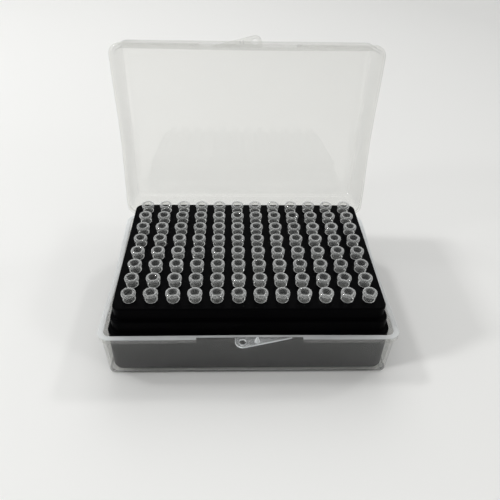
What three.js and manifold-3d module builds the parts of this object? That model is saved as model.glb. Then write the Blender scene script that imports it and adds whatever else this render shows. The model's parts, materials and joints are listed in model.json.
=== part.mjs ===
// A hinged box of 96 short pipette tips: a clear base, a clear lid standing open, a black rack and its tips.
// Millimetres, +Z up. The origin is the middle of the base's underside, and the front faces -Y.
import * as THREE from "three";
import { mergeVertices } from "three/addons/utils/BufferGeometryUtils.js";
import Module from "manifold-3d";

const wasm = await Module();
wasm.setup();

// ---- Driving dimensions ----

// The grid of tips: the standard spacing of a multichannel pipette.
const COLUMNS = 12;
const ROWS = 8;
const PITCH = 9;

// The front rows of tips are separate pieces. Those behind them are one piece with the rack.
const LOOSE_ROWS = 4;

// One tip, measured from its mouth. The collar flares upwards and its shoulder rests on the deck.
const TIP_LENGTH = 31.5;
const COLLAR_HEIGHT = 3.9;
const COLLAR_MOUTH_RADIUS = 3.1;
const COLLAR_FOOT_RADIUS = 2.65;
const BARREL_TOP_RADIUS = 2.15;
const BARREL_END_RADIUS = 0.45;
const BORE_TOP_RADIUS = 1.8;
const BORE_END_RADIUS = 0.25;
const TIP_FACETS = 8;

// The rack: a deck, two shoulders that step outwards, and walls on a foot that is set in from them.
const DECK_MARGIN_X = 6.7;
const DECK_MARGIN_Y = 5.9;
const DECK_THICKNESS = 2;
const DECK_CORNER_RADIUS = 3.6;
const DECK_EDGE_RADIUS = 0.6;
const SHOULDER_STEP = 1.5;
const UPPER_TIER_HEIGHT = 6;
const LOWER_TIER_HEIGHT = 6.1;
const RACK_WALL = 1.5;
const FOOT_BAND_HEIGHT = 1.5;

// The base, an open tray. Its height is that of its rim. The rack's lower shoulder lies a little below it.
const BASE_HEIGHT = 25;
const SHOULDER_DROP = 0.8;
const BASE_DRAFT = 0.4;
const WALL = 1.2;
const BOTTOM_EDGE_RADIUS = 2.4;
const RIM_CORNER_RADIUS = 5.2;

// The rim of base and lid: a ledge turned outwards with a skirt along its edge, open in the front's middle.
const LEDGE_WIDTH = 1.1;
const LEDGE_THICKNESS = 1;
const SKIRT_HEIGHT = 2.5;
const SKIRT_THICKNESS = 0.7;
const SKIRT_OPENING = 44;
const SKIRT_END_RADIUS = 0.8;

// The front flap of base and lid, level with the rim: a round end and an edge that runs back to the wall.
// Its hole and its peg lie as far to either side, so that each peg stands in the other flap's hole when shut.
const FLAP_THICKNESS = 1;
const FLAP_REACH = 5.1;
const FLAP_END_RADIUS = 3.1;
const FLAP_TAIL = 18;
const CATCH_OFFSET = 3;
const CATCH_REACH = 2.3;
const CATCH_HOLE_RADIUS = 1.5;
const PEG_CLEARANCE = 0.35;
const PEG_TOP_RADIUS = 0.45;
const PEG_HEIGHT = 2.4;

// The lid, a shallower tray, with room over the tips when it is shut, and how far past upright it stands.
const LID_HEADROOM = 3.1;
const LID_DRAFT = 1;
const LID_LEAN_DEGREES = 6;

// The hinge: two stations on the rear rim, each a lid knuckle with its pins between two base ears.
const HINGE_OFFSET = 38;
const EAR_RADIUS = 1.7;
const EAR_WIDTH = 3.5;
const KNUCKLE_WIDTH = 4.4;
const PIN_RADIUS = 0.8;
const PIN_END_INSET = 0.6;

// The stop ribs behind the rear rim, which carry the open lid.
const STOP_OFFSET = 20;
const STOP_WIDTH = 8;
const STOP_THICKNESS = 0.8;

// Clearances.
const RACK_CLEARANCE_X = 1;
const RACK_CLEARANCE_Y = 0.6;
const SEAT_GAP = 0.3;
const RIM_GAP = 0.3;
const HINGE_GAP = 0.3;
const PIN_CLEARANCE = 0.08;
const HOLE_CLEARANCE = 0.15;

// ---- Sizes that follow ----

const FUSE = 0.05;
const BEYOND = 1;
const CORNER_STEPS = 2;
const EDGE_STEPS = 2;
const ROUND_FACETS = 12;

const FLOOR_TOP = WALL;
const LOWER_SHOULDER_TOP = BASE_HEIGHT - SHOULDER_DROP;
const UPPER_SHOULDER_TOP = LOWER_SHOULDER_TOP + LOWER_TIER_HEIGHT;
const DECK_TOP = UPPER_SHOULDER_TOP + UPPER_TIER_HEIGHT;
const FOOT_BOTTOM = FLOOR_TOP + SEAT_GAP;
const RACK_WALL_BOTTOM = BOTTOM_EDGE_RADIUS + SEAT_GAP;
const FOOT_INSET = BOTTOM_EDGE_RADIUS - WALL - RACK_CLEARANCE_Y;
const TIP_MOUTH = DECK_TOP + SEAT_GAP + COLLAR_HEIGHT;

const DECK_HALF = {
  x: ((COLUMNS - 1) * PITCH) / 2 + DECK_MARGIN_X,
  y: ((ROWS - 1) * PITCH) / 2 + DECK_MARGIN_Y,
};
const RACK_HALF = grown(DECK_HALF, 2 * SHOULDER_STEP);
const WALL_RIM_HALF = {
  x: RACK_HALF.x + RACK_CLEARANCE_X + WALL + BASE_DRAFT,
  y: RACK_HALF.y + RACK_CLEARANCE_Y + WALL + BASE_DRAFT,
};
const RIM_HALF = grown(WALL_RIM_HALF, LEDGE_WIDTH);
const WALL_CORNER_RADIUS = RIM_CORNER_RADIUS - LEDGE_WIDTH;
const HINGE_RISE = RIM_GAP / 2;
const HINGE_STATIONS = [-HINGE_OFFSET, HINGE_OFFSET];
const EAR_END = KNUCKLE_WIDTH / 2 + HINGE_GAP + EAR_WIDTH;
const LID_DEPTH = TIP_MOUTH + LID_HEADROOM + WALL - BASE_HEIGHT - RIM_GAP;
const LID_LEAN = THREE.MathUtils.degToRad(LID_LEAN_DEGREES);

function grown(half, by) {
  return { x: half.x + by, y: half.y + by };
}

// ---- Solids: three.js shapes turned into closed bodies that can be joined and cut ----

function solid(geometry) {
  const plain = geometry.clone();
  plain.deleteAttribute("normal");
  plain.deleteAttribute("uv");
  const merged = mergeVertices(plain, 1e-4);
  const mesh = new wasm.Mesh({
    numProp: 3,
    vertProperties: new Float32Array(merged.attributes.position.array),
    triVerts: new Uint32Array(merged.index.array),
  });
  return new wasm.Manifold(mesh);
}

function geometryOf(body) {
  const mesh = body.getMesh();
  const geometry = new THREE.BufferGeometry();
  geometry.setAttribute("position", new THREE.BufferAttribute(new Float32Array(mesh.vertProperties), 3));
  geometry.setIndex(new THREE.BufferAttribute(new Uint32Array(mesh.triVerts), 1));
  geometry.computeVertexNormals();
  return geometry;
}

function box(x0, x1, y0, y1, z0, z1) {
  const geometry = new THREE.BoxGeometry(x1 - x0, y1 - y0, z1 - z0);
  return solid(geometry.translate((x0 + x1) / 2, (y0 + y1) / 2, (z0 + z1) / 2));
}

function roundedRectangle(half, radius) {
  const x = half.x - radius;
  const y = half.y - radius;
  const shape = new THREE.Shape();
  shape.absarc(x, y, radius, 0, Math.PI / 2);
  shape.absarc(-x, y, radius, Math.PI / 2, Math.PI);
  shape.absarc(-x, -y, radius, Math.PI, 1.5 * Math.PI);
  shape.absarc(x, -y, radius, 1.5 * Math.PI, 2 * Math.PI);
  shape.closePath();
  return shape;
}

// An upright block with round corners. edgeRadius rounds its bottom and top edges.
function block(half, cornerRadius, z0, z1, edgeRadius = 0) {
  const inset = grown(half, -edgeRadius);
  const geometry = new THREE.ExtrudeGeometry(roundedRectangle(inset, cornerRadius - edgeRadius), {
    depth: z1 - z0 - 2 * edgeRadius,
    curveSegments: CORNER_STEPS,
    bevelEnabled: edgeRadius > 0,
    bevelThickness: edgeRadius,
    bevelSize: edgeRadius,
    bevelSegments: EDGE_STEPS,
  });
  return geometry.translate(0, 0, z0 + edgeRadius);
}

// Leans all four walls of a block outwards: by nothing at z = 0, and by draft at z = height.
function flared(geometry, height, draft) {
  const position = geometry.attributes.position;
  for (let i = 0; i < position.count; i += 1) {
    const lean = (draft * position.getZ(i)) / height;
    position.setX(i, position.getX(i) + Math.sign(position.getX(i)) * lean);
    position.setY(i, position.getY(i) + Math.sign(position.getY(i)) * lean);
  }
  return geometry;
}

// An upright ring between two rounded outlines.
function ring(outerHalf, outerRadius, width, z0, z1) {
  const outer = solid(block(outerHalf, outerRadius, z0, z1));
  const inner = solid(block(grown(outerHalf, -width), outerRadius - width, z0 - BEYOND, z1 + BEYOND));
  return outer.subtract(inner);
}

function rodAlongX(radius, x0, x1, y, z) {
  const geometry = new THREE.CylinderGeometry(radius, radius, x1 - x0, ROUND_FACETS);
  return solid(geometry.rotateZ(Math.PI / 2).translate((x0 + x1) / 2, y, z));
}

function uprightCone(radius0, radius1, z0, z1) {
  const geometry = new THREE.CylinderGeometry(radius1, radius0, z1 - z0, ROUND_FACETS);
  return solid(geometry.rotateX(Math.PI / 2).translate(0, 0, (z0 + z1) / 2));
}

// ---- The tray that base and lid share, standing on z = 0 with its rim at the top ----

function tray(height, draft) {
  const floorHalf = grown(WALL_RIM_HALF, -draft);
  const top = height + 2 * BOTTOM_EDGE_RADIUS;
  const outer = block(floorHalf, WALL_CORNER_RADIUS, 0, top, BOTTOM_EDGE_RADIUS);
  const inner = block(
    grown(floorHalf, -WALL),
    WALL_CORNER_RADIUS - WALL,
    WALL,
    top,
    BOTTOM_EDGE_RADIUS - WALL,
  );
  const above = box(-2 * RIM_HALF.x, 2 * RIM_HALF.x, -2 * RIM_HALF.y, 2 * RIM_HALF.y, height, 2 * top);
  return solid(flared(outer, height, draft))
    .subtract(above)
    .add(rim(height))
    .subtract(solid(flared(inner, height, draft)))
    .add(flap(height));
}

// The ledge and its skirt, both open in the middle of the front.
function rim(height) {
  const ledgeDepth = LEDGE_WIDTH + WALL / 2;
  const ledge = ring(RIM_HALF, RIM_CORNER_RADIUS, ledgeDepth, height - LEDGE_THICKNESS, height);
  const skirt = ring(RIM_HALF, RIM_CORNER_RADIUS, SKIRT_THICKNESS, height - SKIRT_HEIGHT, height);
  return ledge.add(skirt).subtract(skirtOpening(height));
}

// What the opening takes out, in x and height. It widens below, to round the skirt's lower corners.
function skirtOpening(height) {
  const half = SKIRT_OPENING / 2;
  const foot = half + SKIRT_END_RADIUS;
  const corner = SKIRT_END_RADIUS - SKIRT_HEIGHT;
  const shape = new THREE.Shape();
  shape.moveTo(-half, BEYOND);
  shape.absarc(-foot, corner, SKIRT_END_RADIUS, 0, -Math.PI / 2, true);
  shape.lineTo(-foot, -SKIRT_HEIGHT - BEYOND);
  shape.lineTo(foot, -SKIRT_HEIGHT - BEYOND);
  shape.absarc(foot, corner, SKIRT_END_RADIUS, -Math.PI / 2, -Math.PI, true);
  shape.lineTo(half, BEYOND);
  shape.closePath();
  return plateAlongY(shape, -RIM_HALF.y - BEYOND, -WALL_RIM_HALF.y, height);
}

// A plate of an outline drawn in x and height, with its faces at y0 and y1 and its zero height at z.
function plateAlongY(shape, y0, y1, z) {
  const plate = new THREE.ExtrudeGeometry(shape, {
    depth: y1 - y0,
    curveSegments: ROUND_FACETS / 3,
    bevelEnabled: false,
  });
  return solid(plate.rotateX(Math.PI / 2).translate(0, y1, z));
}

// The flap's outline in x and y, with the wall's face at zero: a round end and a tail tangent to it.
function flapOutline() {
  const end = { x: -CATCH_OFFSET, y: FLAP_END_RADIUS - FLAP_REACH };
  const tailDistance = Math.hypot(FLAP_TAIL - end.x, end.y);
  const tailDirection = Math.atan2(-end.y, FLAP_TAIL - end.x);
  const tangentPoint = tailDirection - Math.acos(FLAP_END_RADIUS / tailDistance);
  const shape = new THREE.Shape();
  shape.moveTo(FLAP_TAIL, WALL / 2);
  shape.lineTo(end.x - FLAP_END_RADIUS, WALL / 2);
  shape.absarc(end.x, end.y, FLAP_END_RADIUS, Math.PI, 2 * Math.PI + tangentPoint);
  shape.lineTo(FLAP_TAIL, 0);
  shape.closePath();
  return shape;
}

// The flap with its hole, and its peg, which stands up from it and narrows to its top.
function flap(height) {
  const wallFace = -WALL_RIM_HALF.y;
  const catchY = wallFace - CATCH_REACH;
  const under = height - FLAP_THICKNESS;
  const plate = new THREE.ExtrudeGeometry(flapOutline(), {
    depth: FLAP_THICKNESS,
    curveSegments: ROUND_FACETS,
    bevelEnabled: false,
  });
  const hole = uprightCone(CATCH_HOLE_RADIUS, CATCH_HOLE_RADIUS, under - BEYOND, height + BEYOND);
  const pegRadius = CATCH_HOLE_RADIUS - PEG_CLEARANCE;
  const peg = uprightCone(pegRadius, PEG_TOP_RADIUS, height - FUSE, height + PEG_HEIGHT);
  return solid(plate.translate(0, wallFace, under))
    .subtract(hole.translate(-CATCH_OFFSET, catchY, 0))
    .add(peg.translate(CATCH_OFFSET, catchY, 0));
}

// ---- The hinge, in the frame of a tray whose rim is at the given height ----

// Rods about the hinge axis, one for each pair of ends measured from a station's middle.
function hingeRods(radius, spans, height) {
  let made;
  for (const station of HINGE_STATIONS) {
    for (const [from, to] of spans) {
      const rod = rodAlongX(radius, station + from, station + to, RIM_HALF.y, height + HINGE_RISE);
      made = made ? made.add(rod) : rod;
    }
  }
  return made;
}

function withEars(body, height) {
  const half = KNUCKLE_WIDTH / 2 + HINGE_GAP;
  const notch = hingeRods(EAR_RADIUS + HINGE_GAP, [[-half, half]], height);
  const ears = hingeRods(EAR_RADIUS, [[-EAR_END, -half], [half, EAR_END]], height);
  const bores = hingeRods(PIN_RADIUS + PIN_CLEARANCE, [[-EAR_END - BEYOND, EAR_END + BEYOND]], height);
  return body.subtract(notch).add(ears).subtract(bores);
}

function withKnuckles(body, height) {
  const half = KNUCKLE_WIDTH / 2;
  const clear = EAR_END + HINGE_GAP;
  const notches = hingeRods(EAR_RADIUS + HINGE_GAP, [[-clear, -half], [half, clear]], height);
  const knuckles = hingeRods(EAR_RADIUS, [[-half, half]], height);
  const pinEnd = EAR_END - PIN_END_INSET;
  const pins = hingeRods(PIN_RADIUS, [[-pinEnd, pinEnd]], height);
  return body.subtract(notches).add(knuckles).add(pins);
}

// A rib behind the rear skirt. Its top slopes as the open lid's skirt does, and carries it.
function stopRib(x) {
  const rim = { y: RIM_HALF.y, z: BASE_HEIGHT + HINGE_RISE };
  const topAt = (reach) => ({
    y: rim.y + reach * Math.cos(LID_LEAN),
    z: rim.z - reach * Math.sin(LID_LEAN) - SEAT_GAP,
  });
  const inner = topAt(-SKIRT_THICKNESS);
  const outer = topAt(SKIRT_HEIGHT);
  const shape = new THREE.Shape();
  shape.moveTo(inner.y, BASE_HEIGHT - SKIRT_HEIGHT);
  shape.lineTo(rim.y, BASE_HEIGHT - SKIRT_HEIGHT);
  shape.lineTo(outer.y, outer.z - STOP_THICKNESS);
  shape.lineTo(outer.y, outer.z);
  shape.lineTo(inner.y, inner.z);
  shape.closePath();
  const rib = new THREE.ExtrudeGeometry(shape, { depth: STOP_WIDTH, bevelEnabled: false });
  const alongX = new THREE.Matrix4().makeBasis(
    new THREE.Vector3(0, 1, 0),
    new THREE.Vector3(0, 0, 1),
    new THREE.Vector3(1, 0, 0),
  );
  return solid(rib.applyMatrix4(alongX).translate(x - STOP_WIDTH / 2, 0, 0));
}

// ---- The pieces ----

function baseBody() {
  const body = withEars(tray(BASE_HEIGHT, BASE_DRAFT), BASE_HEIGHT);
  return body.add(stopRib(-STOP_OFFSET)).add(stopRib(STOP_OFFSET));
}

function lidBody() {
  return withKnuckles(tray(LID_DEPTH, LID_DRAFT), LID_DEPTH);
}

// The wall of one tip, turned about its axis, with its mouth at z = 0.
function tipGeometry() {
  return revolved([
    [BORE_TOP_RADIUS, 0],
    [BORE_END_RADIUS, -TIP_LENGTH],
    [BARREL_END_RADIUS, -TIP_LENGTH],
    [BARREL_TOP_RADIUS, -COLLAR_HEIGHT],
    [COLLAR_FOOT_RADIUS, -COLLAR_HEIGHT],
    [COLLAR_MOUTH_RADIUS, 0],
    [BORE_TOP_RADIUS, 0],
  ]);
}

// The same tip without its bore, its collar lengthened to join the deck.
function joinedTipGeometry() {
  const foot = -COLLAR_HEIGHT - SEAT_GAP - FUSE;
  return revolved([
    [0, -TIP_LENGTH],
    [BARREL_END_RADIUS, -TIP_LENGTH],
    [BARREL_TOP_RADIUS, foot],
    [COLLAR_FOOT_RADIUS, foot],
    [COLLAR_MOUTH_RADIUS, 0],
    [0, 0],
  ]);
}

// The bore of one tip, carried on past both of its ends.
function boreGeometry() {
  const taper = (BORE_TOP_RADIUS - BORE_END_RADIUS) / TIP_LENGTH;
  const past = BORE_END_RADIUS / taper / 2;
  return revolved([
    [0, -TIP_LENGTH - past],
    [BORE_END_RADIUS - taper * past, -TIP_LENGTH - past],
    [BORE_TOP_RADIUS + taper * past, past],
    [0, past],
  ]);
}

function revolved(profile) {
  const points = profile.map(([radius, z]) => new THREE.Vector2(radius, z));
  return new THREE.LatheGeometry(points, TIP_FACETS).rotateX(Math.PI / 2);
}

function gridPlace(row, column) {
  return {
    x: (column - (COLUMNS - 1) / 2) * PITCH,
    y: (row - (ROWS - 1) / 2) * PITCH,
  };
}

function deckHole(place) {
  const radius = BARREL_TOP_RADIUS + HOLE_CLEARANCE;
  const length = DECK_THICKNESS + 2 * BEYOND;
  const geometry = new THREE.CylinderGeometry(radius, radius, length, TIP_FACETS);
  return solid(geometry.rotateX(Math.PI / 2).translate(place.x, place.y, DECK_TOP - DECK_THICKNESS / 2));
}

// The ring that the rack stands on, inside the round edge of the base's floor, and the band that carries it.
function rackFoot() {
  const bandBottom = RACK_WALL_BOTTOM + DECK_EDGE_RADIUS;
  const bandTop = bandBottom + FOOT_BAND_HEIGHT;
  const corner = DECK_CORNER_RADIUS + SHOULDER_STEP;
  const foot = ring(grown(RACK_HALF, -FOOT_INSET), corner - FOOT_INSET, RACK_WALL, FOOT_BOTTOM, bandTop);
  const bite = RACK_WALL / 2;
  const bandWidth = FOOT_INSET + RACK_WALL - bite;
  const band = ring(grown(RACK_HALF, -bite), corner - bite, bandWidth, bandBottom, bandTop);
  return foot.add(band);
}

function withJoinedTip(body, place) {
  const outer = joinedTipGeometry().translate(place.x, place.y, TIP_MOUTH);
  const bore = boreGeometry().translate(place.x, place.y, TIP_MOUTH);
  return body.add(solid(outer)).subtract(solid(bore));
}

// The rack with its holes, and the rear rows of tips joined to its deck at their shoulders.
function rackBody() {
  const tiers = [DECK_TOP, UPPER_SHOULDER_TOP, LOWER_SHOULDER_TOP].map((top, step) => ({
    half: grown(DECK_HALF, step * SHOULDER_STEP),
    radius: DECK_CORNER_RADIUS + (step * SHOULDER_STEP) / 2,
    top,
  }));
  let body;
  for (const { half, top, radius } of tiers) {
    const tier = solid(block(half, radius, RACK_WALL_BOTTOM, top, DECK_EDGE_RADIUS));
    body = body ? body.add(tier) : tier;
  }
  for (const { half, top, radius } of tiers) {
    const inside = grown(half, -RACK_WALL);
    const hollow = block(inside, radius - RACK_WALL, RACK_WALL_BOTTOM - BEYOND, top - DECK_THICKNESS);
    body = body.subtract(solid(hollow));
  }
  body = body.add(rackFoot());
  for (let row = 0; row < ROWS; row += 1) {
    for (let column = 0; column < COLUMNS; column += 1) {
      const place = gridPlace(row, column);
      body = row < LOOSE_ROWS ? body.subtract(deckHole(place)) : withJoinedTip(body, place);
    }
  }
  return body;
}

// ---- The assembly ----

function material(color, roughness, opacity = 1) {
  const transparent = opacity < 1;
  return new THREE.MeshStandardMaterial({ color, roughness, metalness: 0, opacity, transparent });
}

function namedMesh(name, geometry, look) {
  const mesh = new THREE.Mesh(geometry, look);
  mesh.name = name;
  return mesh;
}

const CLEAR_PLASTIC = "#dedfdb";
const BLACK_PLASTIC = "#0c0c0e";
const TIP_PLASTIC = "#e6e8e6";

const tipBox = new THREE.Group();
tipBox.add(namedMesh("base", geometryOf(baseBody()), material(CLEAR_PLASTIC, 0.35, 0.4)));
tipBox.add(namedMesh("rack", geometryOf(rackBody()), material(BLACK_PLASTIC, 0.25)));

// The lid's tray is turned over, about the front-to-rear line, and swings on the hinge axis.
const lidSwing = new THREE.Group();
lidSwing.position.set(0, RIM_HALF.y, BASE_HEIGHT + HINGE_RISE);
lidSwing.rotation.x = -Math.PI / 2 - LID_LEAN;
const lid = namedMesh("lid", geometryOf(lidBody()), material(CLEAR_PLASTIC, 0.3, 0.35));
lid.rotation.y = Math.PI;
lid.position.set(0, -RIM_HALF.y, HINGE_RISE + LID_DEPTH);
lidSwing.add(lid);
tipBox.add(lidSwing);

const tipShape = tipGeometry();
for (let row = 0; row < LOOSE_ROWS; row += 1) {
  for (let column = 0; column < COLUMNS; column += 1) {
    const name = `tip_row${row + 1}_column${column + 1}`;
    const tip = namedMesh(name, tipShape.clone(), material(TIP_PLASTIC, 0.2, 0.5));
    const place = gridPlace(row, column);
    tip.position.set(place.x, place.y, TIP_MOUTH);
    tipBox.add(tip);
  }
}

export default tipBox;
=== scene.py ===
# %% [markdown]
# # A box of pipette tips
# The real thing is three polypropylene mouldings and a load of tips: a clear base, a clear lid that
# swings on its rear rim, a black stepped rack, and 96 small tips that hang through the rack's deck.
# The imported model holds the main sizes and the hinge. This lesson makes the pieces that are looked at,
# in millimetres first, and hands each one to the body that carries it.

import json
import math

import bmesh
import bpy
from mathutils import Matrix, Vector


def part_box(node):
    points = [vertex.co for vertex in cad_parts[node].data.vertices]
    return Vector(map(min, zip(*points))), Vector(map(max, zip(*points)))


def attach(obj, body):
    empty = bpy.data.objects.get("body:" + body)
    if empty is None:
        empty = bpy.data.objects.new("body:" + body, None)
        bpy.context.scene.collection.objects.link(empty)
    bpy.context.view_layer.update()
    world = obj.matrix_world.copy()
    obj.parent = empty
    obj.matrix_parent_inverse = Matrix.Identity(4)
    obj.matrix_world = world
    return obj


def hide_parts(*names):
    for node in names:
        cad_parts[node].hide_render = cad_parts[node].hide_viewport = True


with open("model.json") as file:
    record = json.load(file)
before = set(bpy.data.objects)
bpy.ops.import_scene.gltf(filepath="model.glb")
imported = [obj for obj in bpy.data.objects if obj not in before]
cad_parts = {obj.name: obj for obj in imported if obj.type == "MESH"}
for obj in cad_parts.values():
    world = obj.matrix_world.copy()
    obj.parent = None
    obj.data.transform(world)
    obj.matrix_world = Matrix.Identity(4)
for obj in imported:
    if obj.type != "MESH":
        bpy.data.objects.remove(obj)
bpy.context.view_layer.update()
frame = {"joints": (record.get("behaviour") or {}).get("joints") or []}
MM = 0.001

# %% [markdown]
# ## Sizes
# The joint lies on the rear edge of the rim, so its place gives the rim's depth and height, and the
# base's box gives the width. The loose tips give the grid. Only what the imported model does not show
# by its boxes is written here: walls, ledges, fillets and the profile of one tip.

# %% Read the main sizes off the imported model
hinge = Vector(frame["joints"][0]["pos_m"]) / MM
base_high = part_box("base")[1] / MM
first_low, first_high = (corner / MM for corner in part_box("tip_row1_column1"))
beside_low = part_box("tip_row1_column2")[0] / MM

RIM_GAP = 0.3
RIM_X = base_high.x
RIM_Y = hinge.y
BASE_HEIGHT = hinge.z - RIM_GAP / 2
TIP_MOUTH = first_high.z
TIP_LENGTH = first_high.z - first_low.z
MOUTH_RADIUS = (first_high.x - first_low.x) / 2
PITCH = beside_low.x - first_low.x
COLUMNS = 12
ROWS = 8
LOOSE_ROWS = 4
print("rim", RIM_X, RIM_Y, "height", BASE_HEIGHT, "pitch", PITCH, "tip", TIP_LENGTH, MOUTH_RADIUS)

# %% Name the sizes that the boxes do not show, in millimetres
# BEYOND is how far a shape that cuts reaches past what it cuts.
BEYOND = 1.0
WALL = 1.2
BASE_DRAFT = 0.4
LID_DRAFT = 1.0
BOTTOM_EDGE = 2.4
RIM_CORNER = 5.2
SIDE_BOW = 0.8
FRONT_BOW = 0.3
LEDGE_WIDTH = 1.1
LEDGE_THICKNESS = 1.0
SKIRT_HEIGHT = 2.5
SKIRT_THICKNESS = 0.7
SKIRT_OPENING = 44.0
SKIRT_END = 0.8
LID_LEAN = math.radians(6)
LID_DEPTH = 19.5

# %% [markdown]
# ## Camera
# A lens of about 36 mm, held by hand a little left of the middle and looking down at about 40
# degrees.

# %% Make the camera
CAMERA_PLACE = (-8.1, -176.8, 183.0)
CAMERA_YAW = 0.0372
CAMERA_PITCH = 0.6915
CAMERA_ROLL = 0.0243
CAMERA_LENS = 35.8
CAMERA_SHIFT = 0.0111
SENSOR_WIDTH = 36
NEAREST = 0.01

camera = bpy.data.objects.new("camera", bpy.data.cameras.new("camera"))
bpy.context.scene.collection.objects.link(camera)
camera.data.sensor_width = SENSOR_WIDTH
camera.data.lens = CAMERA_LENS
camera.data.shift_x = CAMERA_SHIFT
camera.data.clip_start = NEAREST
camera.matrix_world = (
    Matrix.Translation(Vector(CAMERA_PLACE) * MM)
    @ Matrix.Rotation(-CAMERA_YAW, 4, "Z")
    @ Matrix.Rotation(math.pi / 2 - CAMERA_PITCH, 4, "X")
    @ Matrix.Rotation(CAMERA_ROLL, 4, "Z")
)
bpy.context.scene.camera = camera
print("camera at, in mm:", CAMERA_PLACE, "looking down by", round(math.degrees(CAMERA_PITCH), 1))

# %% [markdown]
# ## Small helpers for shapes
# Every moulding here is a rounded rectangle that changes as it goes up, so it is lofted: a ring of
# edges at each level, bridged to the next. The levels come from a profile, drawn as outward and
# upward steps, whose corners are softened into arcs as a mould's are.

# %% Soften a profile and loft it
CORNER_POINTS = 10


def softened(profile, steps=4):
    """Points along a profile of (out, up, radius) corners, each corner turned by an arc of its radius."""
    points = []
    for i, (out, up, radius) in enumerate(profile):
        corner = Vector((out, up))
        if radius == 0:
            points.append(corner)
            continue
        before = (Vector(profile[i - 1][:2]) - corner).normalized()
        after = (Vector(profile[(i + 1) % len(profile)][:2]) - corner).normalized()
        half = before.angle(after) / 2
        centre = corner + (before + after).normalized() * (radius / math.sin(half))
        start = corner + before * (radius / math.tan(half)) - centre
        turn = -start.angle_signed(corner + after * (radius / math.tan(half)) - centre)
        for k in range(steps + 1):
            points.append(centre + Matrix.Rotation(turn * k / steps, 2) @ start)
    return points


def rounded_ring(bm, half_x, half_y, radius, up, points):
    """A rounded rectangle of edges at one height: a circle whose quarters are moved apart."""
    half_step = math.pi / 4 / points
    place = Matrix.Translation((0, 0, up)) @ Matrix.Rotation(half_step, 4, "Z")
    made = bmesh.ops.create_circle(
        bm, segments=4 * points, radius=radius / math.cos(half_step), matrix=place
    )
    for v in made["verts"]:
        v.co.x += math.copysign(half_x - radius, v.co.x)
        v.co.y += math.copysign(half_y - radius, v.co.y)
    return list({e for v in made["verts"] for e in v.link_edges})


def lofted(levels, half_x, half_y, corner, corner_rate=1.0, points=CORNER_POINTS):
    """A closed solid: a rounded rectangle is extruded from level to level and grown by each one's out.
    With no half sizes and no corner it is a round plug, and each out is a radius."""
    bm = bmesh.new()
    out, up = levels[0]
    ring = rounded_ring(bm, half_x + out, half_y + out, corner + corner_rate * out, up, points)
    bmesh.ops.contextual_create(bm, geom=ring)
    for next_out, next_up in levels[1:]:
        radius = corner + corner_rate * out
        next_radius = corner + corner_rate * next_out
        grown = bmesh.ops.extrude_edge_only(bm, edges=ring)["geom"]
        for v in [v for v in grown if isinstance(v, bmesh.types.BMVert)]:
            for axis, half in ((0, half_x), (1, half_y)):
                centre = math.copysign(half + out - radius, v.co[axis])
                next_centre = math.copysign(half + next_out - next_radius, v.co[axis])
                v.co[axis] = next_centre + (v.co[axis] - centre) * next_radius / radius
            v.co.z = next_up
        ring = [e for e in grown if isinstance(e, bmesh.types.BMEdge) and e.is_boundary]
        out, up = next_out, next_up
    bmesh.ops.contextual_create(bm, geom=ring)
    return bm


# %% [markdown]
# Openings, ears and flaps are joined to a moulding or cut from it by a Boolean modifier, which is
# applied at once. The exact solver keeps the result closed.

# %% Turn bmesh shapes into objects, and join or cut them
MERGE_DISTANCE = 1e-4


def mesh_object(name, bm):
    """An object in the scene from a bmesh, with doubles merged and faces pointing outwards."""
    bmesh.ops.remove_doubles(bm, verts=bm.verts, dist=MERGE_DISTANCE)
    bmesh.ops.recalc_face_normals(bm, faces=bm.faces)
    mesh = bpy.data.meshes.new(name)
    bm.to_mesh(mesh)
    bm.free()
    thing = bpy.data.objects.new(name, mesh)
    bpy.context.scene.collection.objects.link(thing)
    return thing


def baked(thing):
    """Applies an object's modifiers to its mesh."""
    bpy.context.view_layer.update()
    evaluated = thing.evaluated_get(bpy.context.evaluated_depsgraph_get())
    old = thing.data
    thing.data = bpy.data.meshes.new_from_object(evaluated)
    thing.modifiers.clear()
    bpy.data.meshes.remove(old)
    return thing


def combined(thing, operation, bm):
    """Joins a shape to an object (UNION) or cuts it away (DIFFERENCE)."""
    tool = mesh_object("tool", bm)
    change = thing.modifiers.new("change", "BOOLEAN")
    change.operation = operation
    change.solver = "EXACT"
    change.object = tool
    baked(thing)
    bpy.data.objects.remove(tool)
    return thing


def rounded_edges(bm, edges, radius):
    """Bevels edges to a small round."""
    bmesh.ops.bevel(
        bm, geom=edges, offset=radius, segments=3, profile=0.5, affect="EDGES", material=-1
    )


def open_edges(mesh):
    """How many edges do not join exactly two faces. A closed solid has none."""
    bm = bmesh.new()
    bm.from_mesh(mesh)
    count = sum(1 for e in bm.edges if not e.is_manifold)
    bm.free()
    return count


# %% Mark where a wall is thick
def marked(mesh, thickness_at):
    """Gives every face its thickness, from 0 for the thinnest wall to 1 for the thickest place."""
    values = mesh.attributes.new("thickness", "FLOAT", "FACE")
    for face in mesh.polygons:
        values.data[face.index].value = thickness_at(face.center, face.normal)
    return mesh


# %% Make a finished piece of the object
SHARP_FROM = math.radians(40)


def finished(thing, name, material, body, slot, *nodes):
    """Scales a piece to metres, shades it, gives it its material, hands it to its body and hides its CAD
    nodes. slot is not used.
    """
    thing.name = name
    thing.data.name = name
    thing.data.transform(Matrix.Scale(MM, 4))
    thing.data.shade_smooth()
    thing.data.set_sharp_from_angle(angle=SHARP_FROM)
    flatten = thing.modifiers.new("even flat faces", "WEIGHTED_NORMAL")
    flatten.keep_sharp = True
    thing.data.materials.clear()
    thing.data.materials.append(material)
    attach(thing, body)
    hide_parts(*nodes)
    return thing


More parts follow.
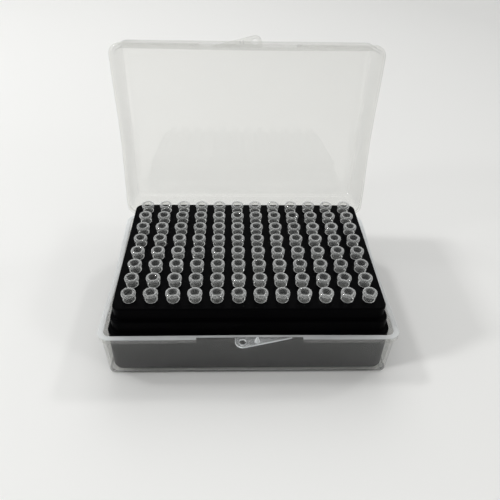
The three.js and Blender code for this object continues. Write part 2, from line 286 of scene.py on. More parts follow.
# %% [markdown]
# ## Materials
# All four finishes are polypropylene. The clear ones are never quite as clear as glass. A thin wall
# shows what is behind it unbent, mirrors a little of the room, and scatters a few percent of the
# light, which shows as a faint milky grey over anything dark. Light that crosses a wall at a slant
# has further to go in it, so more is scattered. Where a moulding is thick, at rims, pegs and beads,
# it also bends light, like glass of IOR 1.49. An attribute named thickness says where that is.
# Lamps shine through all of it, so for shadow rays each clear finish turns transparent.

# %% Colours and nodes
def colour(code):
    """A linear colour from an sRGB hex value."""
    parts = [int(code[i : i + 2], 16) / 255 for i in (1, 3, 5)]
    return [c / 12.92 if c <= 0.04045 else ((c + 0.055) / 1.055) ** 2.4 for c in parts] + [1]


def add_node(tree, kind, settings=None, **inputs):
    """Adds a node, sets its properties, and gives each named input a value or another node's output."""
    node = tree.nodes.new(kind)
    for name, value in (settings or {}).items():
        setattr(node, name, value)
    for name, value in inputs.items():
        socket = node.inputs[int(name[1:]) if name[0] == "_" else name.replace("_", " ")]
        if isinstance(value, bpy.types.NodeSocket):
            tree.links.new(value, socket)
        else:
            socket.default_value = value
    return node


def new_material(name):
    """An empty node material with its output, and the object's own coordinates in metres."""
    material = bpy.data.materials.new(name)
    material.use_nodes = True
    tree = material.node_tree
    tree.nodes.clear()
    output = add_node(tree, "ShaderNodeOutputMaterial")
    place = add_node(tree, "ShaderNodeTexCoord").outputs["Object"]
    return material, tree, output, place


# %% Clear polypropylene, moulded and polished
# Sizes are in metres. The haze is cloudy over 18 mm, and a moulded face is wavy by 4 micrometres over
# 6 mm. SLANTED_PATH is how much longer light's way through a wall is at the flattest slant, and
# BENDS_FROM the thickness, on the attribute's scale, from which a wall bends light in full.
IOR = 1.49
CLOUD_SIZE = 0.018
CLOUD_RANGE = (0.35, 0.75)
CLOUD_MIDDLE = (0.3, 0.7)
WAVE_SIZE = 0.006
WAVE_HEIGHT = 4e-6
SMOOTHEST = 0.8
ROUGHEST = 1.3
LEAST_HAZE = 0.8
MOST_HAZE = 1.2
SLANTED_PATH = 5
BENDS_FROM = 0.02


def mapped(tree, value, low, high, to_low, to_high):
    """A node that carries value from one range to another, and its output."""
    return add_node(
        tree,
        "ShaderNodeMapRange",
        Value=value,
        From_Min=low,
        From_Max=high,
        To_Min=to_low,
        To_Max=to_high,
    ).outputs["Result"]


def clear_polypropylene(name, tint, haze, thick_haze, roughness, straight, lamp_share, onward):
    """Clear moulded polypropylene. haze is the share of light that a thin wall scatters when met
    squarely, thick_haze what its thick places scatter, straight the share that thick places pass
    unbent, lamp_share what a face lets a lamp through, and onward the part of the scattered light
    that leaves on the far side. Thin walls never bend what is behind."""
    material, tree, output, place = new_material(name)
    cloud = add_node(tree, "ShaderNodeTexNoise", Vector=place, Scale=1 / CLOUD_SIZE, Detail=2.0)
    waves = add_node(tree, "ShaderNodeTexNoise", Vector=place, Scale=1 / WAVE_SIZE, Detail=2.0)
    bump = add_node(
        tree, "ShaderNodeBump", Height=waves.outputs["Fac"], Strength=1.0, Distance=WAVE_HEIGHT
    ).outputs["Normal"]
    rough = mapped(
        tree, cloud.outputs["Fac"], *CLOUD_RANGE, roughness * SMOOTHEST, roughness * ROUGHEST
    )
    thick = add_node(tree, "ShaderNodeAttribute", {"attribute_name": "thickness"}).outputs["Fac"]

    clear = add_node(tree, "ShaderNodeBsdfTransparent", Color=colour("#FBFBFA")).outputs[0]
    mirror = add_node(tree, "ShaderNodeBsdfGlossy", Roughness=rough, Normal=bump).outputs[0]
    inside = add_node(tree, "ShaderNodeNewGeometry").outputs["Backfacing"]
    bending = mapped(tree, inside, 0, 1, IOR, 1 / IOR)
    fresnel = add_node(tree, "ShaderNodeFresnel", IOR=bending, Normal=bump).outputs[0]
    thin_wall = add_node(tree, "ShaderNodeMixShader", _0=fresnel, _1=clear, _2=mirror).outputs[0]
    solid = add_node(
        tree,
        "ShaderNodeBsdfPrincipled",
        Base_Color=colour(tint),
        IOR=IOR,
        Roughness=rough,
        Transmission_Weight=1.0,
        Normal=bump,
    ).outputs[0]
    bent = mapped(tree, thick, 0, BENDS_FROM, 0, 1 - straight)
    seen = add_node(tree, "ShaderNodeMixShader", _0=bent, _1=thin_wall, _2=solid).outputs[0]

    front = add_node(tree, "ShaderNodeBsdfDiffuse", Color=colour(tint)).outputs[0]
    behind = add_node(tree, "ShaderNodeBsdfTranslucent", Color=colour(tint)).outputs[0]
    scattered = add_node(tree, "ShaderNodeMixShader", _0=onward, _1=front, _2=behind).outputs[0]
    slant = add_node(tree, "ShaderNodeLayerWeight", Blend=0.5).outputs["Facing"]
    slanted = add_node(tree, "ShaderNodeMath", {"operation": "POWER"}, _0=slant, _1=2.0).outputs[0]
    path = mapped(tree, slanted, 0, 1, 1, SLANTED_PATH)
    uneven = mapped(tree, cloud.outputs["Fac"], *CLOUD_MIDDLE, LEAST_HAZE, MOST_HAZE)
    local_haze = mapped(tree, thick, 0, 1, haze, thick_haze)
    milk = add_node(tree, "ShaderNodeMath", {"operation": "MULTIPLY"}, _0=uneven, _1=local_haze)
    milk = add_node(
        tree,
        "ShaderNodeMath",
        {"operation": "MULTIPLY", "use_clamp": True},
        _0=milk.outputs[0],
        _1=path,
    )
    plastic = add_node(
        tree, "ShaderNodeMixShader", _0=milk.outputs[0], _1=seen, _2=scattered
    ).outputs[0]

    passing = add_node(tree, "ShaderNodeBsdfTransparent", Color=[lamp_share] * 3 + [1]).outputs[0]
    shadow = add_node(tree, "ShaderNodeLightPath").outputs["Is Shadow Ray"]
    mix = add_node(tree, "ShaderNodeMixShader", _0=shadow, _1=plastic, _2=passing)
    tree.links.new(mix.outputs[0], output.inputs["Surface"])
    return material


# Clarified polypropylene from a polished mould. It looks like slightly grey glass.
lid_plastic = clear_polypropylene(
    "clear polypropylene, polished lid",
    tint="#F7F8F6",
    haze=0.018,
    thick_haze=0.05,
    roughness=0.04,
    straight=0.9,
    lamp_share=0.93,
    onward=0.5,
)
# The same plastic. It looks a trace bluer, and white where the rim is thick.
base_plastic = clear_polypropylene(
    "clear polypropylene, base",
    tint="#EFF2F3",
    haze=0.01,
    thick_haze=0.46,
    roughness=0.05,
    straight=0.3,
    lamp_share=0.93,
    onward=0.2,
)
# Natural polypropylene, which is not clarified, so that even the thin collars look a little milky.
tip_plastic = clear_polypropylene(
    "natural polypropylene, tips",
    tint="#F6F8F7",
    haze=0.038,
    thick_haze=0.32,
    roughness=0.04,
    straight=0.6,
    lamp_share=0.98,
    onward=0.2,
)


# %% Black polypropylene, moulded against a fine spark-eroded face
# A spark-eroded grain is under 0.1 mm wide and too fine to show, so it is drawn 0.5 mm wide and 20
# micrometres high. Patches of 12 mm are a little smoother than the rest.
GRAIN_SIZE = 0.0005
GRAIN_HEIGHT = 2e-5
GRAIN_STRENGTH = 0.4
RUBBED_SIZE = 0.012
RUBBED_ROUGHNESS = (0.28, 0.42)


def black_polypropylene():
    """Nearly black, with a fine grain from the mould that keeps its faces from mirroring."""
    material, tree, output, place = new_material("black polypropylene, fine moulded grain")
    grain = add_node(tree, "ShaderNodeTexNoise", Vector=place, Scale=1 / GRAIN_SIZE, Detail=3.0)
    rubbed = add_node(tree, "ShaderNodeTexNoise", Vector=place, Scale=1 / RUBBED_SIZE, Detail=4.0)
    roughness = mapped(tree, rubbed.outputs["Fac"], *CLOUD_MIDDLE, *RUBBED_ROUGHNESS)
    bump = add_node(
        tree,
        "ShaderNodeBump",
        Height=grain.outputs["Fac"],
        Strength=GRAIN_STRENGTH,
        Distance=GRAIN_HEIGHT,
    )
    plastic = add_node(
        tree,
        "ShaderNodeBsdfPrincipled",
        Base_Color=colour("#040405"),
        Specular_IOR_Level=0.01,
        Roughness=roughness,
        Normal=bump.outputs["Normal"],
    )
    tree.links.new(plastic.outputs[0], output.inputs["Surface"])
    return material


rack_plastic = black_polypropylene()
print("materials:", [m.name for m in bpy.data.materials])

# %% [markdown]
# ## The tray that base and lid share
# Both are the same moulding at two depths: a floor, four walls that lean outwards, and a ledge round
# the rim with a skirt that hangs from its edge. The skirt is left out in the middle of the front.

# %% Loft a tray and open its skirt
WALL_X = RIM_X - LEDGE_WIDTH
WALL_Y = RIM_Y - LEDGE_WIDTH
WALL_CORNER = RIM_CORNER - LEDGE_WIDTH
FLOOR_STRIP = 0.4
BOW_CUTS = 9
UNDER_EDGE = 0.12
SKIRT_INNER_EDGE = 0.2
SKIRT_OUTER_EDGE = 0.25
RIM_OUTER_EDGE = 0.35
RIM_INNER_EDGE = 0.3
OPENING_FLARE = 3
WALL_CLEARANCE = 0.04


def prism(outline, y0, y1):
    """A solid of an outline of (x, up) points, from y0 to y1."""
    bm = bmesh.new()
    face = bm.faces.new([bm.verts.new((x, y0, up)) for x, up in outline])
    grown = bmesh.ops.extrude_face_region(bm, geom=[face])
    side = [v for v in grown["geom"] if isinstance(v, bmesh.types.BMVert)]
    bmesh.ops.translate(bm, verts=side, vec=(0, y1 - y0, 0))
    return bm


def skirt_opening(height):
    """What the opening takes out. It widens below, which rounds the lower corners of the skirt's ends."""
    half = SKIRT_OPENING / 2
    low = height - SKIRT_HEIGHT
    corners = [
        (-half, height + BEYOND, 0),
        (-half, low, SKIRT_END),
        (-half - OPENING_FLARE, low, 0),
        (-half - OPENING_FLARE, low - BEYOND, 0),
        (half + OPENING_FLARE, low - BEYOND, 0),
        (half + OPENING_FLARE, low, 0),
        (half, low, SKIRT_END),
        (half, height + BEYOND, 0),
    ]
    return prism(softened(corners), -RIM_Y - BEYOND, -WALL_Y - WALL_CLEARANCE)


def cut_across(bm, axis, count, reach):
    """Adds evenly spaced rings of edges across one axis, so that long walls can bend."""
    normal = Vector((0, 0, 0))
    normal[axis] = 1
    for i in range(1, count + 1):
        place = normal * reach * (2 * i / (count + 1) - 1)
        geometry = bm.verts[:] + bm.edges[:] + bm.faces[:]
        bmesh.ops.bisect_plane(bm, geom=geometry, plane_co=place, plane_no=normal)


def bowed(thing, height):
    """Draws the side and front walls in towards their middles, most at the rim, which no floor holds."""

    def share(along, half):
        return 0.5 + 0.5 * math.cos(math.pi * min(1, abs(along) / (half - RIM_CORNER)))

    for v in thing.data.vertices:
        x, y, up = v.co
        free = up / height
        v.co.x -= math.copysign(SIDE_BOW * free * share(y, RIM_Y) * min(1, abs(x) / WALL_X), x)
        v.co.y -= FRONT_BOW * free * share(x, RIM_X) * min(0, max(-1, y / WALL_Y))
    return thing


def tray(height, draft):
    """The shell of base or lid, standing on its floor with its rim at the given height."""
    under = height - LEDGE_THICKNESS
    lean_under = -draft * LEDGE_THICKNESS / height
    slot = LEDGE_WIDTH - SKIRT_THICKNESS
    flat = -draft - BOTTOM_EDGE - FLOOR_STRIP
    profile = [
        (flat, 0, 0),
        (-draft, 0, BOTTOM_EDGE),
        (lean_under, under, UNDER_EDGE),
        (slot, under, UNDER_EDGE),
        (slot, height - SKIRT_HEIGHT, SKIRT_INNER_EDGE),
        (LEDGE_WIDTH, height - SKIRT_HEIGHT, SKIRT_OUTER_EDGE),
        (LEDGE_WIDTH, height, RIM_OUTER_EDGE),
        (-WALL, height, RIM_INNER_EDGE),
        (-WALL - draft, WALL, BOTTOM_EDGE - WALL),
        (flat, WALL, 0),
    ]
    bm = lofted(softened(profile), WALL_X, WALL_Y, WALL_CORNER)
    cut_across(bm, 1, BOW_CUTS, RIM_Y - RIM_CORNER)
    cut_across(bm, 0, BOW_CUTS, RIM_X - RIM_CORNER)
    return bowed(combined(mesh_object("tray", bm), "DIFFERENCE", skirt_opening(height)), height)


# %% [markdown]
# ## The flap and its peg
# In front a flap stands out, level with the rim. Its outline is the hull of a round end and a
# straight back edge, so the convex hull operator draws it. It has a hole through its round end and a
# tapered peg beside it: with the lid shut, each flap's peg stands in the other one's hole.

# %% Make the flap
# The flap lies a hair below the rim's top, so that the two are joined by more than a shared face.
FLAP_DROP = 0.01
FLAP_THICKNESS = 0.95
FLAP_EDGE = 0.2
FLAP_REACH = 5.1
FLAP_END_RADIUS = 3.1
FLAP_TAIL = 18.0
CATCH_OFFSET = 3.0
CATCH_REACH = 2.3
CATCH_HOLE_RADIUS = 1.5
PEG_FOOT_RADIUS = 1.15
PEG_TOP_RADIUS = 0.45
PEG_TOP_EDGE = 0.3
PEG_HEIGHT = 2.4
PEG_SUNK = 0.2
PEG_CORE = 0.05
PEG_POINTS = 6
ROD_SEGMENTS = 40
FLAP_SEGMENTS = 64
FLAT_WITHIN = math.radians(1)


def rod(radius, start, end, edge=0.0):
    """A round rod between two points, its end edges rounded."""
    bm = bmesh.new()
    along = Vector(end) - Vector(start)
    turn = along.to_track_quat("Z", "Y").to_matrix().to_4x4()
    place = Matrix.Translation((Vector(start) + Vector(end)) / 2) @ turn
    bmesh.ops.create_cone(
        bm,
        cap_ends=True,
        segments=ROD_SEGMENTS,
        radius1=radius,
        radius2=radius,
        depth=along.length,
        matrix=place,
    )
    if edge:
        ends = [e for e in bm.edges if any(len(f.verts) > 4 for f in e.link_faces)]
        rounded_edges(bm, ends, edge)
    return bm


def flap_plate(height, back):
    """The flap's plate, from the hull of its round end and its back edge, with soft edges."""
    bm = bmesh.new()
    middle = Vector((-CATCH_OFFSET, back + FLAP_END_RADIUS - FLAP_REACH, 0))
    for up in (height - FLAP_THICKNESS, height):
        place = Matrix.Translation(middle + Vector((0, 0, up)))
        bmesh.ops.create_circle(bm, segments=FLAP_SEGMENTS, radius=FLAP_END_RADIUS, matrix=place)
        bm.verts.new((-CATCH_OFFSET - FLAP_END_RADIUS, back + WALL / 2, up))
        bm.verts.new((FLAP_TAIL, back + WALL / 2, up))
        bm.verts.new((FLAP_TAIL, back, up))
    hull = bmesh.ops.convex_hull(bm, input=bm.verts)
    inner = [v for v in hull["geom_interior"] if isinstance(v, bmesh.types.BMVert)]
    bmesh.ops.delete(bm, geom=inner, context="VERTS")
    bmesh.ops.dissolve_limit(bm, angle_limit=FLAT_WITHIN, verts=bm.verts, edges=bm.edges)
    level = [e for e in bm.edges if abs(e.verts[0].co.z - e.verts[1].co.z) < MERGE_DISTANCE]
    rounded_edges(bm, level, FLAP_EDGE)
    return bm


def with_flap(thing, height):
    """Joins the flap to a tray, bores its hole and stands its peg on it."""
    back = FRONT_BOW - WALL_Y
    catch = back - CATCH_REACH
    combined(thing, "UNION", flap_plate(height - FLAP_DROP, back))
    low = (-CATCH_OFFSET, catch, height - FLAP_THICKNESS - BEYOND)
    combined(thing, "DIFFERENCE", rod(CATCH_HOLE_RADIUS, low, (-CATCH_OFFSET, catch, height + BEYOND)))
    profile = [
        (PEG_CORE, height - PEG_SUNK, 0),
        (PEG_FOOT_RADIUS, height - PEG_SUNK, 0),
        (PEG_TOP_RADIUS, height + PEG_HEIGHT, PEG_TOP_EDGE),
        (PEG_CORE, height + PEG_HEIGHT, 0),
    ]
    peg = lofted(softened(profile), 0, 0, 0, points=PEG_POINTS)
    bmesh.ops.translate(peg, verts=peg.verts, vec=(CATCH_OFFSET, catch, 0))
    return combined(thing, "UNION", peg)


# %% [markdown]
# ## The hinge
# The rear rim has two hinge stations. At each, the lid has a knuckle with a pin at both ends, and
# the base has two bored ears that the pins snap into. Two ribs on the base carry the open lid.

# %% Make the hinge's parts
HINGE_OFFSET = 38.0
EAR_RADIUS = 1.7
EAR_WIDTH = 3.5
KNUCKLE_WIDTH = 4.4
HINGE_GAP = 0.3
PIN_RADIUS = 0.8
PIN_CLEARANCE = 0.08
PIN_END_INSET = 0.6
HINGE_EDGE = 0.2
STOP_OFFSET = 20.0
STOP_WIDTH = 8.0
STOP_THICKNESS = 0.8
HALF_KNUCKLE = KNUCKLE_WIDTH / 2
EAR_END = HALF_KNUCKLE + HINGE_GAP + EAR_WIDTH
HINGE_STATIONS = (-HINGE_OFFSET, HINGE_OFFSET)


def hinge_rods(thing, operation, radius, spans, height, edge=0.0):
    """Joins or cuts rods on the hinge axis, one for each span measured from a station's middle."""
    up = height + RIM_GAP / 2
    for station in HINGE_STATIONS:
        for start, end in spans:
            bm = rod(radius, (station + start, RIM_Y, up), (station + end, RIM_Y, up), edge=edge)
            combined(thing, operation, bm)
    return thing


def with_ears(thing, height):
    """Cuts a notch for each knuckle, joins the ears beside it and bores them."""
    half = HALF_KNUCKLE + HINGE_GAP
    hinge_rods(thing, "DIFFERENCE", EAR_RADIUS + HINGE_GAP, [(-half, half)], height)
    ears = [(-EAR_END, -half), (half, EAR_END)]
    hinge_rods(thing, "UNION", EAR_RADIUS, ears, height, HINGE_EDGE)
    bore = EAR_END + BEYOND
    return hinge_rods(thing, "DIFFERENCE", PIN_RADIUS + PIN_CLEARANCE, [(-bore, bore)], height)


def with_knuckles(thing, height):
    """Cuts notches for the ears, and joins each knuckle and its pins."""
    clear = EAR_END + HINGE_GAP
    notches = [(-clear, -HALF_KNUCKLE), (HALF_KNUCKLE, clear)]
    hinge_rods(thing, "DIFFERENCE", EAR_RADIUS + HINGE_GAP, notches, height)
    knuckle = [(-HALF_KNUCKLE, HALF_KNUCKLE)]
    hinge_rods(thing, "UNION", EAR_RADIUS, knuckle, height, HINGE_EDGE)
    pin = EAR_END - PIN_END_INSET
    return hinge_rods(thing, "UNION", PIN_RADIUS, [(-pin, pin)], height, HINGE_EDGE)


def stop_rib(x):
    """A rib behind the rear skirt, whose top slopes as the open lid's skirt does."""

    def top(reach):
        return (
            RIM_Y + reach * math.cos(LID_LEAN),
            hinge.z - reach * math.sin(LID_LEAN) - RIM_GAP,
        )

    low = BASE_HEIGHT - SKIRT_HEIGHT
    inner = top(-SKIRT_THICKNESS)
    outer = top(SKIRT_HEIGHT)
    outline = [(inner[0], low), (RIM_Y, low), (outer[0], outer[1] - STOP_THICKNESS), outer, inner]
    bm = prism(outline, -STOP_WIDTH / 2, STOP_WIDTH / 2)
    mirror = Matrix.Scale(-1, 4, (1, 0, 0))
    turn = Matrix.Translation((x, 0, 0)) @ Matrix.Rotation(-math.pi / 2, 4, "Z") @ mirror
    bmesh.ops.transform(bm, matrix=turn, verts=bm.verts)
    return bm


# %% Make the base
FLAP_FACE_THICKNESS = 0.25
LEVEL_NORMAL = 0.95
RIM_TOP_BAND = 0.28
WALL_MARGIN = 0.1


def rim_thickness(height, draft):
    """How thick a tray is at a face: most at the rim's top and along the flap's edges and peg, a little
    at the floor's edge, where light bends, and none in the walls, the skirt and the floor."""

    def thickness_at(place, normal):
        if place.y < -WALL_Y - WALL_MARGIN and abs(place.x) < SKIRT_OPENING / 2:
            return FLAP_FACE_THICKNESS if abs(normal.z) > LEVEL_NORMAL else 1.0
        if place.z > height - RIM_TOP_BAND:
            return 1.0
        outside = max(abs(place.x) - WALL_X, abs(place.y) - WALL_Y) + draft
        if place.z < BOTTOM_EDGE / 2 and outside > -BOTTOM_EDGE:
            return BENDS_FROM
        return 0.0

    return thickness_at


base = tray(BASE_HEIGHT, BASE_DRAFT)
with_flap(base, BASE_HEIGHT)
with_ears(base, BASE_HEIGHT)
for stop_x in (-STOP_OFFSET, STOP_OFFSET):
    combined(base, "UNION", stop_rib(stop_x))
marked(base.data, rim_thickness(BASE_HEIGHT, BASE_DRAFT))
print("base: open edges", open_edges(base.data), "faces", len(base.data.polygons))
finished(base, "clear_base", base_plastic, "base_body", "clear_polypropylene", "base")

# %% [markdown]
# The lid is the shallower tray turned over, front to rear line for its axis, then swung open about
# the hinge until it rests on the ribs, six degrees past upright.

# %% Make the lid
lid = tray(LID_DEPTH, LID_DRAFT)
with_flap(lid, LID_DEPTH)
with_knuckles(lid, LID_DEPTH)
marked(lid.data, rim_thickness(LID_DEPTH, LID_DRAFT))
swing = (
    Matrix.Translation(hinge)
    @ Matrix.Rotation(-math.pi / 2 - LID_LEAN, 4, "X")
    @ Matrix.Translation((0, -RIM_Y, RIM_GAP / 2 + LID_DEPTH))
    @ Matrix.Rotation(math.pi, 4, "Y")
)
lid.data.transform(swing)
print("lid: open edges", open_edges(lid.data), "faces", len(lid.data.polygons))
finished(lid, "clear_lid", lid_plastic, "lid_body", "clear_polypropylene", "lid")

# %% [markdown]
# ## The rack
# A black shell with its deck on top. Its walls step outwards twice on the way down, so the lid slides
# over the first steps, and it stands on a foot that is set in to clear the base's round floor edge.

# %% Loft the rack's shell
DECK_MARGIN_X = 6.7
DECK_MARGIN_Y = 5.9
DECK_THICKNESS = 2.0
DECK_CORNER = 3.6
DECK_EDGE = 0.6
SHOULDER_STEP = 1.5
SHOULDER_DROP = 0.8
UPPER_TIER = 6.0
LOWER_TIER = 6.1
RACK_WALL = 1.5
RACK_WALL_BOTTOM = 2.7
FOOT_BOTTOM = 1.5
FOOT_INSET = 2.6
LOWER_WALL_OUT = 0.2
RACK_DRAFT = 0.5
FOOT_BAND = 2.1
DECK_STRIP = 0.5
ROOF_STRIP = 0.8
INNER_EDGE = 0.3
CORNER_RATE = 0.5
LOWER_SHOULDER = BASE_HEIGHT - SHOULDER_DROP
UPPER_SHOULDER = LOWER_SHOULDER + LOWER_TIER
DECK_TOP = UPPER_SHOULDER + UPPER_TIER
DECK_X = (COLUMNS - 1) * PITCH / 2 + DECK_MARGIN_X
DECK_Y = (ROWS - 1) * PITCH / 2 + DECK_MARGIN_Y


def rack_shell():
    """The shell from the middle of the deck out, down the steps, under the foot and up inside."""
    wall = 2 * SHOULDER_STEP
    foot = wall - FOOT_INSET
    band = RACK_WALL_BOTTOM + FOOT_BAND
    profile = [
        (-DECK_EDGE - DECK_STRIP, DECK_TOP, 0),
        (0, DECK_TOP, DECK_EDGE),
        (0, UPPER_SHOULDER, INNER_EDGE),
        (SHOULDER_STEP, UPPER_SHOULDER, DECK_EDGE),
        (SHOULDER_STEP, LOWER_SHOULDER, INNER_EDGE),
        (wall + LOWER_WALL_OUT, LOWER_SHOULDER, DECK_EDGE),
        (wall + RACK_DRAFT, RACK_WALL_BOTTOM, DECK_EDGE),
        (foot, RACK_WALL_BOTTOM, INNER_EDGE),
        (foot, FOOT_BOTTOM, INNER_EDGE),
        (foot - RACK_WALL, FOOT_BOTTOM, INNER_EDGE),
        (foot - RACK_WALL, band, INNER_EDGE),
        (wall - RACK_WALL, band, INNER_EDGE),
        (wall - RACK_WALL, LOWER_SHOULDER - DECK_THICKNESS, INNER_EDGE),
        (SHOULDER_STEP - RACK_WALL, LOWER_SHOULDER - DECK_THICKNESS, INNER_EDGE),
        (SHOULDER_STEP - RACK_WALL, UPPER_SHOULDER - DECK_THICKNESS, INNER_EDGE),
        (-RACK_WALL, UPPER_SHOULDER - DECK_THICKNESS, INNER_EDGE),
        (-RACK_WALL, DECK_TOP - DECK_THICKNESS, INNER_EDGE),
        (-RACK_WALL - ROOF_STRIP, DECK_TOP - DECK_THICKNESS, 0),
    ]
    bm = lofted(softened(profile), DECK_X, DECK_Y, DECK_CORNER, CORNER_RATE)
    return mesh_object("shell", bm)


# %% [markdown]
# The 96 holes are one cutter: a turned plug with a flare at the deck's top and bottom, copied over the
# grid, so that every hole gets the small lead-in that guides a tip.

# %% Bore the deck
BARREL_TOP_RADIUS = 2.15
HOLE_CLEARANCE = 0.15
HOLE_LEAD_IN = 0.25
HOLE_BEYOND = 0.5
HOLE_POINTS = 7


def turned(profile, segments):
    """A solid of revolution about the upright axis, from a closed profile of (radius, up) points."""
    bm = bmesh.new()
    verts = [bm.verts.new((radius, 0, up)) for radius, up in profile]
    edges = [bm.edges.new((verts[i - 1], verts[i])) for i in range(len(verts))]
    bmesh.ops.spin(
        bm,
        geom=verts + edges,
        cent=(0, 0, 0),
        axis=(0, 0, 1),
        angle=2 * math.pi,
        steps=segments,
        use_merge=True,
    )
    return bm


def grid_place(row, column):
    """Where a tip's axis stands, rows counted from the front and columns from the left."""
    x = (column - (COLUMNS - 1) / 2) * PITCH
    y = (row - (ROWS - 1) / 2) * PITCH
    return Vector((x, y, 0))


def hole_cutters():
    """One flared plug for each hole of the grid."""
    radius = BARREL_TOP_RADIUS + HOLE_CLEARANCE
    flare = HOLE_LEAD_IN + HOLE_BEYOND
    under = DECK_TOP - DECK_THICKNESS
    levels = [
        (radius + flare, under - HOLE_BEYOND),
        (radius, under + HOLE_LEAD_IN),
        (radius, DECK_TOP - HOLE_LEAD_IN),
        (radius + flare, DECK_TOP + HOLE_BEYOND),
    ]
    bm = lofted(levels, 0, 0, 0, points=HOLE_POINTS)
    plug_verts = bm.verts[:]
    plug = plug_verts + bm.edges[:] + bm.faces[:]
    for row in range(ROWS):
        for column in range(COLUMNS):
            copied = bmesh.ops.duplicate(bm, geom=plug)["geom"]
            verts = [v for v in copied if isinstance(v, bmesh.types.BMVert)]
            bmesh.ops.translate(bm, verts=verts, vec=grid_place(row, column))
    bmesh.ops.delete(bm, geom=plug_verts, context="VERTS")
    return bm


rack = combined(rack_shell(), "DIFFERENCE", hole_cutters())
print("rack: open edges", open_edges(rack.data), "faces", len(rack.data.polygons))
finished(rack, "black_rack", rack_plastic, "base_body", "black_polypropylene", "rack")

# %% [markdown]
# ## The tips
# One tip is a thin cone under a thicker collar, turned in one piece. A bead runs round its mouth, the
# collar's foot rests on the deck, and the bore runs through. The same mesh stands in all 96 holes.

# %% Turn one tip
SEAT_GAP = 0.03
COLLAR_HEIGHT = TIP_MOUTH - DECK_TOP - SEAT_GAP
COLLAR_FOOT_RADIUS = 2.6
BEAD_TOP_RADIUS = MOUTH_RADIUS - 0.15
BEAD_LOW_RADIUS = MOUTH_RADIUS - 0.1
BEAD_LOW_DROP = 1.0
BEAD_TOP_ROUND = 0.4
BEAD_LOW_ROUND = 1.0
BEAD_HEIGHT = 1.9
FOOT_ROUND = 0.4
BARREL_STEP_DROP = 17.0
BARREL_STEP = 0.12
BARREL_STEP_LENGTH = 0.4
BARREL_END_RADIUS = 0.45
BORE_TOP_RADIUS = 1.8
BORE_NARROWING = 0.3
BORE_NARROW_DROP = 3
BORE_END_RADIUS = 0.25
MOUTH_CHAMFER = 0.3
MOUTH_ROUND = 0.15
BORE_ROUND = 0.1
TIP_SEGMENTS = 24
TIP_ARC_STEPS = 3
BEAD_THICKNESS = 0.5


def barrel_radius(drop):
    """The barrel's outer radius at a depth below the mouth."""
    share = (drop - COLLAR_HEIGHT) / (TIP_LENGTH - COLLAR_HEIGHT)
    return BARREL_TOP_RADIUS + (BARREL_END_RADIUS - BARREL_TOP_RADIUS) * share


def tip_thickness(place, normal):
    """A tip is thick at its collar's foot, half as thick at the bead round its mouth, thin elsewhere."""
    across = math.hypot(place.x, place.y)
    if place.z < -COLLAR_HEIGHT or across < BORE_TOP_RADIUS:
        return 0.0
    if place.z > -BEAD_HEIGHT:
        return BEAD_THICKNESS
    return 1.0 if place.z < FOOT_ROUND - COLLAR_HEIGHT else 0.0


def tip_mesh():
    """The wall of one tip, with its mouth at height zero."""
    step_radius = barrel_radius(BARREL_STEP_DROP)
    profile = [
        (BORE_TOP_RADIUS + MOUTH_CHAMFER, 0, MOUTH_ROUND),
        (BEAD_TOP_RADIUS, 0, BEAD_TOP_ROUND),
        (BEAD_LOW_RADIUS, -BEAD_LOW_DROP, BEAD_LOW_ROUND),
        (COLLAR_FOOT_RADIUS, -COLLAR_HEIGHT, FOOT_ROUND),
        (BARREL_TOP_RADIUS, -COLLAR_HEIGHT, 0),
        (step_radius, -BARREL_STEP_DROP, 0),
        (step_radius - BARREL_STEP, -BARREL_STEP_DROP - BARREL_STEP_LENGTH, 0),
        (BARREL_END_RADIUS, -TIP_LENGTH, 0),
        (BORE_END_RADIUS, -TIP_LENGTH, 0),
        (BORE_TOP_RADIUS - BORE_NARROWING, -COLLAR_HEIGHT - BORE_NARROW_DROP, 0),
        (BORE_TOP_RADIUS, -MOUTH_CHAMFER, BORE_ROUND),
    ]
    thing = mesh_object("tip", turned(softened(profile, TIP_ARC_STEPS), TIP_SEGMENTS))
    mesh = thing.data.copy()
    bpy.data.objects.remove(thing)
    return marked(mesh, tip_thickness)


# %% Stand the tips in the rack
tip = tip_mesh()
print("tip: open edges", open_edges(tip), "faces", len(tip.polygons))
for row in range(ROWS):
    for column in range(COLUMNS):
        number = f"row{row + 1}_column{column + 1}"
        node = f"tip_{number}" if row < LOOSE_ROWS else "rack"
        piece = bpy.data.objects.new("tip", tip.copy())
        bpy.context.scene.collection.objects.link(piece)
        piece.data.transform(Matrix.Translation(grid_place(row, column) + Vector((0, 0, TIP_MOUTH))))
        finished(piece, f"pipette_tip_{number}", tip_plastic, "base_body", "tip_polypropylene", node)

# %% [markdown]
# ## Studio
# A pale table in a pale room. The table's colour is painted with shade that darkens it towards the right
# and back. Four ceiling lamps stand round the box and one broad lamp is behind it, so that thin shadows
# fall to both sides and a soft one to the front. The room is paler behind the box than in front of it,
# which shows in what the clear walls mirror.

# %% Make the table
FLOOR_SIZE = 6.0
# Painted shade: the table's colour goes from near white to light grey along this direction, in place of
# light that falls off across the table.
PAINTED_SHADE_DIRECTION = (0.39, 0.23, 0)
PAINTED_SHADE_START = -0.15
PAINTED_SHADE_END = 0.25


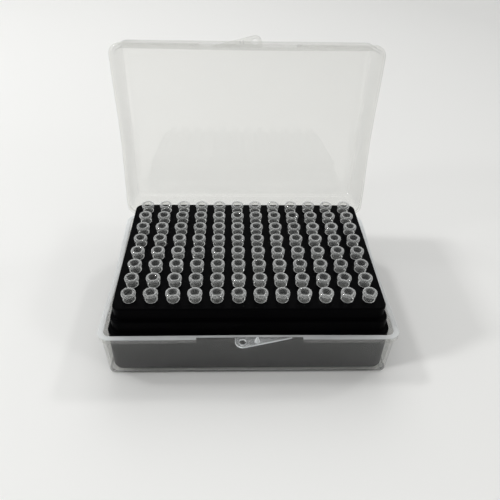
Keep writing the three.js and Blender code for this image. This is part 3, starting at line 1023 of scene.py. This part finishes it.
def studio_floor():
    """A wide pale table top, staged, because it is not part of the object. Its colour is painted with
    shade that darkens it towards the right and back.
    """
    bm = bmesh.new()
    bmesh.ops.create_grid(bm, x_segments=1, y_segments=1, size=FLOOR_SIZE / 2)
    table = mesh_object("table", bm)
    material, tree, output, place = new_material("white laminate table with painted shade")
    across = add_node(
        tree, "ShaderNodeVectorMath", {"operation": "DOT_PRODUCT"}, _0=place, _1=PAINTED_SHADE_DIRECTION
    )
    painted_shade = mapped(tree, across.outputs["Value"], PAINTED_SHADE_START, PAINTED_SHADE_END, 0, 1)
    # The painted shade: near white mixed towards light grey along the direction above.
    shaded_tone = add_node(
        tree,
        "ShaderNodeMix",
        {"data_type": "RGBA"},
        _0=painted_shade,
        _6=colour("#FDFDFB"),
        _7=colour("#DADAD8"),
    )
    laminate = add_node(
        tree, "ShaderNodeBsdfDiffuse", Color=shaded_tone.outputs[2], Roughness=0.3
    )
    tree.links.new(laminate.outputs[0], output.inputs["Surface"])
    table.data.materials.append(material)
    return table


table = studio_floor()
print("staged:", table.name, FLOOR_SIZE, "m square")


# %% Hang the lamps
LAMP_DISTANCE = 1.3


def lamp(name, towards, size, share):
    """An area lamp that looks at the box. share is the part of a white floor's brightness it gives."""
    light = bpy.data.lights.new(name, "AREA")
    light.size = size
    direction = Vector(towards).normalized()
    light.energy = share * math.pi**2 * LAMP_DISTANCE**2 / direction.z
    holder = bpy.data.objects.new(name, light)
    holder.location = direction * LAMP_DISTANCE
    holder.rotation_euler = (-direction).to_track_quat("-Z", "Y").to_euler()
    bpy.context.scene.collection.objects.link(holder)
    return holder


lamps = [
    lamp("lamp back right", (0.68, 0.45, 1), 0.12, 0.086),
    lamp("lamp back left", (-0.60, 0.25, 1), 0.12, 0.146),
    lamp("lamp front right", (1.3, -0.75, 1), 0.15, 0.05),
    lamp("lamp front left", (-1.6, -0.45, 1), 0.15, 0.155),
    lamp("broad lamp behind", (0, 0.8, 1), 0.9, 0.218),
]
print("lamps, in W:", {each.name: round(each.data.energy, 2) for each in lamps})

# %% Make the pale room
# Rays that look at the room, straight, in a mirror or through plastic, see walls that grow paler
# towards the back. All other rays get an even light.
AMBIENT = 0.362
PALE_FROM = 0.0
PALE_TO = 0.8

world = bpy.data.worlds.new("pale room")
world.use_nodes = True
bpy.context.scene.world = world
room = world.node_tree
room.nodes.clear()
ray = add_node(room, "ShaderNodeLightPath").outputs
looks = ray["Is Camera Ray"]
for other in (ray["Is Glossy Ray"], ray["Is Transmission Ray"]):
    either = add_node(room, "ShaderNodeMath", {"operation": "MAXIMUM"}, _0=looks, _1=other)
    looks = either.outputs[0]
light = add_node(room, "ShaderNodeBackground", Color=colour("#FFFFFF"), Strength=AMBIENT)
direction = add_node(room, "ShaderNodeTexCoord").outputs["Generated"]
ahead = add_node(room, "ShaderNodeSeparateXYZ", Vector=direction).outputs["Y"]
walls = add_node(
    room,
    "ShaderNodeMix",
    {"data_type": "RGBA"},
    _0=mapped(room, ahead, PALE_FROM, PALE_TO, 0, 1),
    _6=colour("#A8A8A6"),
    _7=colour("#E4E4E2"),
).outputs[2]
shown = add_node(room, "ShaderNodeBackground", Color=walls, Strength=1.0)
backdrop = add_node(
    room, "ShaderNodeMixShader", _0=looks, _1=light.outputs[0], _2=shown.outputs[0]
)
room_out = add_node(room, "ShaderNodeOutputWorld")
room.links.new(backdrop.outputs[0], room_out.inputs["Surface"])
print("room:", len(room.nodes), "nodes")

# %% Set how colours are shown and how far light is followed
settings = bpy.context.scene
settings.view_settings.view_transform = "Standard"
settings.cycles.max_bounces = 24
settings.cycles.transmission_bounces = 24
settings.cycles.transparent_max_bounces = 32
settings.cycles.caustics_reflective = False
settings.cycles.caustics_refractive = False
print("view transform:", settings.view_settings.view_transform)
